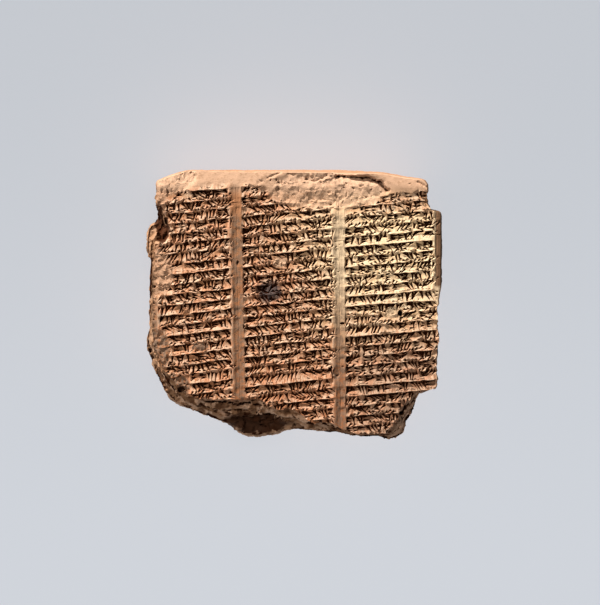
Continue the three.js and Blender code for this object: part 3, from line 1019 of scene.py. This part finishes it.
class TABLET_OT_finish(bpy.types.Operator):
    """Gives the clay its fired colours, stains, earth and painted shade in the strokes, painted light on
    the breaks and ridges, and fine grain
    """

    bl_idname = "tablet.finish"
    bl_label = "Finish the clay"

    def execute(self, context):
        piece = bpy.data.objects[PIECE]
        mesh = piece.data
        self.mark_places(mesh, context.scene.tablet_clay, context.scene.tablet_writing)
        mesh.set_sharp_from_angle(angle=math.radians(32))
        mesh.materials.clear()
        mesh.materials.append(self.clay_material(context.scene.tablet_colours))
        return {"FINISHED"}

    @staticmethod
    def mark_places(mesh, clay, writing):
        """Stores for each vertex how closed in, broken, worn and written on it is, how near a ridge's
        top, the tone of its facet and how fully it lies in a hollow."""
        tree = BVHTree.FromPolygons([vert.co for vert in mesh.vertices],
                                    [face.vertices for face in mesh.polygons])
        draw = random.Random(5)
        rays = []
        for number in range(RAYS):
            height = (number + 0.5) / RAYS
            reach = math.sqrt(1 - height * height)
            turn = number * math.pi * (3 - math.sqrt(5))
            rays.append(Vector((reach * math.cos(turn), reach * math.sin(turn), height)))
        marks = {name: [] for name in MARKS}
        for vert in mesh.vertices:
            normal = vert.normal
            turn = normal.to_track_quat("Z", "Y")
            start = vert.co + normal * (0.06 * MM)
            closed = 0
            for ray in rays:
                hit = tree.ray_cast(start, turn @ ray, RAY_LENGTH)
                closed += 0 if hit[0] is None else 1 - hit[3] / RAY_LENGTH
            marks["hollow"].append(closed / len(rays))
            x, y, z = vert.co
            below = face_height(clay, x, y) - 0.45 * clay.scar_depth * bowl(x, y, SCAR) - z
            outside = ramp(rim_distance(x, y), 0.8 * MM, 2 * MM)
            broken = max(outside, ramp(below, 1.6 * MM, 2.8 * MM)) * (1 - moulded_share(y))
            marks["broken"].append(broken)
            marks["worn"].append(wornness(x, y))
            facet = noise.voronoi(vert.co / FACET_SIZE)[1][0]
            marks["facet"].append(0.5 + 0.8 * noise.noise(facet * 3.3))
            on_face = 1 - ramp(below, 1.5 * MM, 2 * MM)
            marks["written"].append(on_face * (1 - marks["worn"][-1]) * written_share(writing, x, y))
            sunk = face_height(clay, x, y) - damage(clay, x, y) - z
            marks["crest"].append(1 - ramp(sunk, 0.3 * MM, 0.95 * MM))
            middle = facet * FACET_SIZE
            marks["sunken"].append(max(bowl(middle.x, middle.y, place) for place in HOLLOWS))
        for name, shares in marks.items():
            mesh.attributes.new(name, "FLOAT", "POINT").data.foreach_set("value", shares)

    @staticmethod
    def clay_material(colours):
        graph = Graph("fired_clay")
        place = graph.node("ShaderNodeTexCoord", output="Object")
        x, y, z = graph.axes(place)
        hollow, broken, worn, written, crest, facet, sunken = (graph.attribute(name) for name in MARKS)
        clouds = graph.noise(place, 16 * MM, 3)
        blotches = graph.noise(place, 4 * MM, 4, 0.65)
        crumbs = graph.noise(place, 1.6 * MM, 3, 0.6)
        specks = graph.noise(place, 0.7 * MM, 3, 0.7)
        leaning = [graph.noise(graph.turned(place, turn, (1, 0.28, 1)), 0.8 * MM, 2, 0.5)
                   for turn in (35, -40)]
        side = graph.noise(place, 5 * MM, 2).step(0.47, 0.53)
        strands = leaning[0] * side + leaning[1] * (1 - side)

        # Regions of the face: cream to the upper right, red below and near the middle, the moulded
        # upper edge, the strip along the right side and the left margin, both darkened as painted shade,
        # and the grey lower right
        rightward = (x + 0.03 * (clouds - 0.5)).step(-0.02, 0.034)
        upward = (y + 0.03 * (blotches - 0.5)).step(-0.03, 0.02)
        creamy = rightward * upward * (1 - 0.75 * y.step(0.6 * HALF_HEIGHT, 0.74 * HALF_HEIGHT))
        downward = 1 - (y + 0.04 * (clouds - 0.5)).step(-0.05, 0.005)
        upper = (y + 0.004 * (clouds - 0.5)).step(HALF_HEIGHT - 12 * MM, HALF_HEIGHT - 7 * MM)
        red_x = ((x + 0.006) * 45) ** 2
        red_y = ((y - 0.004) * 55) ** 2
        redder = 1 - (red_x + red_y + 1.2 * (blotches - 0.5)).step(0.1, 1)
        # Painted shade on the strip along the right side, above the middle
        strip = x.step(0.946 * HALF_WIDTH, 0.954 * HALF_WIDTH) * y.step(0.006, 0.008)
        leftmost = 1 - (x + 0.004 * (blotches - 0.5)).step(-0.945 * HALF_WIDTH, -0.9 * HALF_WIDTH)
        # Painted shade along the left margin, below its upper part
        painted_shade_margin = leftmost * (1 - (y + 0.006 * (clouds - 0.5)).step(0.012, 0.022))
        lower_right = x.step(0.016, 0.03) * (1 - (y + 0.01 * (clouds - 0.5)).step(-0.022, -0.004))
        grey = lower_right * (1 - broken)
        plain = (1 - written) * (1 - upper) * (1 - broken)

        # Light places of the worn left side and the upper edge, with pits and stains
        worn_light = worn * (1 - broken) * (1 - painted_shade_margin) * y.step(-0.004, 0.004) * specks.step(0.35, 0.5)
        worn_light = worn_light * z.step(24 * MM, 26.5 * MM)
        upper_light = upper * (1 - broken) * z.step(26 * MM, 27.5 * MM)
        pitted = (crumbs + 0.3 * (specks - 0.5)).step(0.52, 0.66) * upper
        side_stain = (blotches + 0.4 * (crumbs - 0.5)).step(0.42, 0.66) * upper
        side_stain = side_stain * (1 - z.step(25 * MM, 29 * MM))

        # The core that shows on the breaks: brown, with facets painted light and dark at random as lit
        # and shaded facets, and painted light on the lower rim and on the breaks at the far right
        low = 1 - (z + 0.008 * (clouds - 0.5)).step(15 * MM, 24 * MM)
        lighter = (facet + 0.6 * (blotches - 0.5)).step(0.46, 0.76).most(low * 0.9)
        lighter = (lighter * (1 - 0.7 * y.step(-0.03, -0.01))).most(x.step(0.036, 0.042) * 0.8)
        shade = 1 - (facet + 0.9 * (blotches - 0.5)).step(0.1, 0.5)
        core = graph.mix(lighter, colours.broken, colours.light)
        core = graph.mix(shade * (0.75 - 0.6 * low), core, colours.dirt_and_shade)

        # Dust on the dividers and the worn places
        dusty = crumbs.step(0.38, 0.6) * plain * 0.75 * (1 - 0.6 * creamy) * (1 - y.step(0.034, 0.038))
        dusty = dusty * (1 - 0.8 * worn * y.step(-0.006, 0))
        greyed = (crumbs + 0.5 * specks).step(0.6, 0.8) * plain * worn
        greyed = greyed * (1 - y.step(-0.014, -0.006)) * 0.85

        # The firing stain; the ridges made lighter, partly rubbed wear and partly a painted highlight;
        # and the strokes, cracks and hollows made dark, partly earth and partly painted shade
        stain_x = ((x + 0.0096) * 170) ** 2
        stain_y = ((y - 0.0054) * 190) ** 2
        stained = 1 - (stain_x + stain_y + 1.6 * (crumbs - 0.5)).step(0.2, 1.3)
        # Ridge tops lightened along leaning strands: partly rubbed wear, partly a painted highlight
        rubbed_and_highlit = crest * written * (1 - stained) * strands.step(0.32, 0.56)
        rubbed_and_highlit = rubbed_and_highlit * (1 - 0.2 * grey) * (1 - 0.3 * downward)
        warm = graph.noise(place, 3 * MM, 3).step(0.46, 0.6) * (1 - 0.7 * creamy)
        ridge = graph.mix(creamy, colours.rubbed_and_highlit, colours.cream)
        ridge = graph.mix(warm * 0.85, ridge, colours.warm)
        # Darkening where the clay is closed in and below the crests of the writing: partly dark earth,
        # partly painted shade
        deep = hollow + 0.2 * (blotches - 0.5) - 0.3 * written * (strands - 0.5)
        dirt_and_shade_share = (deep + 0.2 * written * (1 - crest)).step(0.31, 0.5)
        dirt_and_shade_share = (dirt_and_shade_share * (1 - 0.22 * broken)).most(hollow.step(0.5, 0.66))

        tone = colours.clay
        for share, shade in (
                (creamy, colours.pale), (downward * 0.7, colours.red), (upper, colours.edge),
                # Below, the left margin darkened with the core's brown: painted shade
                (redder * 0.6, colours.red), (painted_shade_margin * 0.9, scaled(colours.broken, 0.45)),
                (worn_light * 0.6, colours.light), (upper_light * 0.62, colours.light),
                (pitted * 0.45, colours.broken), (side_stain * 0.55, colours.broken),
                (broken * 0.9, core),
                (blotches.step(0.52, 0.75) * 0.35 * (1 - broken) * written, colours.pale),
                (specks.step(0.56, 0.72) * (0.35 + 0.45 * worn), colours.broken),
                (plain * creamy * 0.5, colours.cream), (dusty.most(greyed), colours.dust),
                # The strip at the right side darkened with the core's brown: painted shade
                (strip, scaled(colours.broken, 0.5)), (grey * 0.45, colours.dust),
                # The ridges lightened: partly rubbed wear, partly a painted highlight
                (stained * 0.93, colours.stain), (rubbed_and_highlit * 0.6, ridge),
                # The hollows where clay broke out painted near black: painted shade. The strokes and
                # cracks made dark: partly earth, partly painted shade
                (sunken.step(0, 0.5) * 0.92, colours.dirt_and_shade), (dirt_and_shade_share, colours.dirt_and_shade)):
            tone = graph.mix(share, tone, shade)
        graph.feed(graph.shader.inputs["Base Color"], tone)
        graph.shader.inputs["Roughness"].default_value = 0.88
        graph.shader.inputs["Specular IOR Level"].default_value = 0.06

        grain = graph.noise(place, 0.45 * MM, 4, 0.7) * 0.5 + crumbs * (0.7 + 0.8 * worn)
        grain = grain + blotches * 0.4 + strands * written * 1.6
        sockets = {"Strength": 0.6, "Distance": 0.3 * MM, "Height": grain}
        graph.feed(graph.shader.inputs["Normal"], graph.node("ShaderNodeBump", {}, sockets))
        return graph.material


class TABLET_OT_stage(bpy.types.Operator):
    """Sets the pale table, the soft studio light and the camera straight above"""

    bl_idname = "tablet.stage"
    bl_label = "Set the stage"

    def execute(self, context):
        stage = context.scene.tablet_stage
        self.table(stage)
        self.lights(stage)
        self.camera(stage)
        return {"FINISHED"}

    @staticmethod
    def table(stage):
        """A wide, flat table, a little brighter towards the lower edge of the picture."""
        shape = bmesh.new()
        bmesh.ops.create_grid(shape, x_segments=1, y_segments=1, size=3)
        table = shape_object(shape, "table")
        graph = Graph("pale_table")
        place = graph.node("ShaderNodeTexCoord", output="Object")
        nearer = 1 - graph.axes(place)[1].step(-0.13, 0.13)
        tone = graph.mix(nearer, stage.floor_colour, scaled(stage.floor_colour, 1.13))
        graph.feed(graph.shader.inputs["Base Color"], tone)
        graph.shader.inputs["Roughness"].default_value = 0.9
        table.data.materials.append(graph.material)

    @staticmethod
    def lamp(name, power, softness, towards, lit):
        """A far light that shines one way, on one object alone."""
        light = bpy.data.lights.new(name, "SUN")
        light.energy = power
        light.angle = math.radians(softness)
        lamp = bpy.data.objects.new(name, light)
        lamp.rotation_euler = towards.to_track_quat("-Z", "Y").to_euler()
        only = bpy.data.collections.new("lit_by_" + name)
        only.objects.link(lit)
        lamp.light_linking.receiver_collection = only
        bpy.context.scene.collection.objects.link(lamp)
        return light

    def lights(self, stage):
        """A low light from the upper edge, softer ones from the left and below, and one on the table."""
        tablet, table = bpy.data.objects[PIECE], bpy.data.objects["table"]
        for name, power, rise, softness, turn in (
                ("key", stage.key_power, stage.key_rise, 4, Vector((0.42, -1, 0))),
                ("high", stage.high_power, math.radians(45), 14, Vector((1, -0.5, 0))),
                ("fill", stage.fill_power, math.radians(35), 30, Vector((-0.2, 1, 0)))):
            towards = turn.normalized() * math.cos(rise)
            towards.z = -math.sin(rise)
            self.lamp(name, power, softness, towards, tablet).color = (1, 0.96, 0.9)
        down = Vector((0, 0, -1))
        self.lamp("table_light", stage.table_power, 70, down, table)
        unshaded = bpy.data.collections.new("shades_the_table")
        unshaded.objects.link(table)
        bpy.data.objects["table_light"].light_linking.blocker_collection = unshaded
        world = bpy.data.worlds.new("soft_room")
        world.use_nodes = True
        background = world.node_tree.nodes["Background"]
        background.inputs["Color"].default_value = (1, 0.93, 0.86, 1)
        background.inputs["Strength"].default_value = stage.room_power
        bpy.context.scene.world = world

    @staticmethod
    def camera(stage):
        """A camera straight above that sees the tablet as wide and as far off centre as the photo."""
        sensor = 36 * MM
        frame_pixels = 605
        tablet_pixels = 295
        right_pixels, up_pixels = 6.5, 2
        pixel = 2 * HALF_WIDTH / tablet_pixels
        outline_height = 0.6 * THICKNESS
        distance = frame_pixels * pixel * (stage.focal_length * MM) / sensor
        lens = bpy.data.cameras.new("camera")
        lens.lens = stage.focal_length
        lens.sensor_width = sensor / MM
        lens.clip_start = 0.01
        camera = bpy.data.objects.new("camera", lens)
        camera.location = (right_pixels * pixel, up_pixels * pixel, outline_height + distance)
        bpy.context.scene.collection.objects.link(camera)
        bpy.context.scene.camera = camera
        bpy.context.scene.view_settings.view_transform = "Standard"


OPERATORS = (TABLET_OT_clay, TABLET_OT_writing, TABLET_OT_finish, TABLET_OT_stage)


class TABLET_PT_panel(bpy.types.Panel):
    """The tablet's steps and sizes, in the 3D view's sidebar"""

    bl_label = "Cuneiform tablet"
    bl_idname = "TABLET_PT_panel"
    bl_space_type = "VIEW_3D"
    bl_region_type = "UI"
    bl_category = "Tablet"

    def draw(self, context):
        for operator in OPERATORS:
            self.layout.operator(operator.bl_idname)
        for name, (_, label) in SETTINGS.items():
            box = self.layout.box()
            box.label(text=label)
            group = getattr(context.scene, name)
            for key in group.__annotations__:
                box.prop(group, key)


SETTINGS = {
    "tablet_clay": (ClaySettings, "Clay"),
    "tablet_writing": (WritingSettings, "Writing"),
    "tablet_colours": (ColourSettings, "Colours"),
    "tablet_stage": (StageSettings, "Stage"),
}
CLASSES = (*(group for group, _ in SETTINGS.values()), *OPERATORS, TABLET_PT_panel)


def register():
    for item in CLASSES:
        bpy.utils.register_class(item)
    for name, (group, _) in SETTINGS.items():
        setattr(bpy.types.Scene, name, PointerProperty(type=group))


def unregister():
    for name in SETTINGS:
        delattr(bpy.types.Scene, name)
    for item in reversed(CLASSES):
        bpy.utils.unregister_class(item)


def main():
    register()
    bpy.ops.tablet.clay()
    bpy.ops.tablet.writing()
    bpy.ops.tablet.finish()
    bpy.ops.tablet.stage()


if __name__ == "__main__":
    main()
